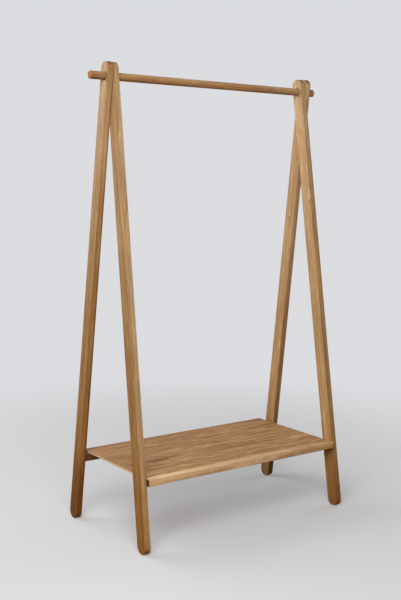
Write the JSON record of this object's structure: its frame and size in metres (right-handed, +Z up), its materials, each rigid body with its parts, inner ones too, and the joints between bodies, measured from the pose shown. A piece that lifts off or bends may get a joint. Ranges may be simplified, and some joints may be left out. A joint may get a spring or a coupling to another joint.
{
  "type": "open frame wardrobe",
  "caption": "Wooden A-frame clothes rack: round-ended legs cross on a round hanging rail and fold together, held open by a low board shelf that hooks over their crossbars.",
  "frame": {"origin": "on the floor, below the middle of the hanging rail", "axes": "+X along the hanging rail, +Y from the front to the rear, +Z up"},
  "size_m": [1, 0.4786, 1.6156],
  "materials": {
    "rail": "oiled, satin",
    "legs": "oiled, satin",
    "crossbars": "oiled, satin",
    "staves": "oiled, satin",
    "front_lip": "oiled, satin",
    "rear_lip": "oiled, satin",
    "pins": "plain",
    "washers": "matt"
  },
  "bodies": {
    "rear_frame": {"hanging_rail": "rail", "rear_left_leg": "legs", "rear_right_leg": "legs", "rear_crossbar": "crossbars", "rail_pin_left": "pins", "rail_pin_right": "pins"},
    "front_frame": {"front_left_leg": "legs", "front_right_leg": "legs", "front_crossbar": "crossbars", "leg_washer_left": "washers", "leg_washer_right": "washers"},
    "shelf": {"shelf_stave_01": "staves", "shelf_stave_02": "staves", "shelf_stave_03": "staves", "shelf_stave_04": "staves", "shelf_stave_05": "staves", "shelf_stave_06": "staves", "shelf_stave_07": "staves", "shelf_stave_08": "staves", "shelf_stave_09": "staves", "shelf_stave_10": "staves", "shelf_stave_11": "staves", "shelf_stave_12": "staves", "shelf_front_lip": "front_lip", "shelf_rear_lip": "rear_lip"}
  },
  "joints": [
    {"name": "front_frame_fold", "type": "hinge", "parent": "rear_frame", "child": "front_frame", "pos_m": [0, 0, 1.566], "axis": [1, 0, 0], "range_deg": [0, 14]},
    {"name": "shelf_lift", "type": "slide", "parent": "rear_frame", "child": "shelf", "axis": [0, 0, 1], "range_m": [0, 0.25]}
  ]
}
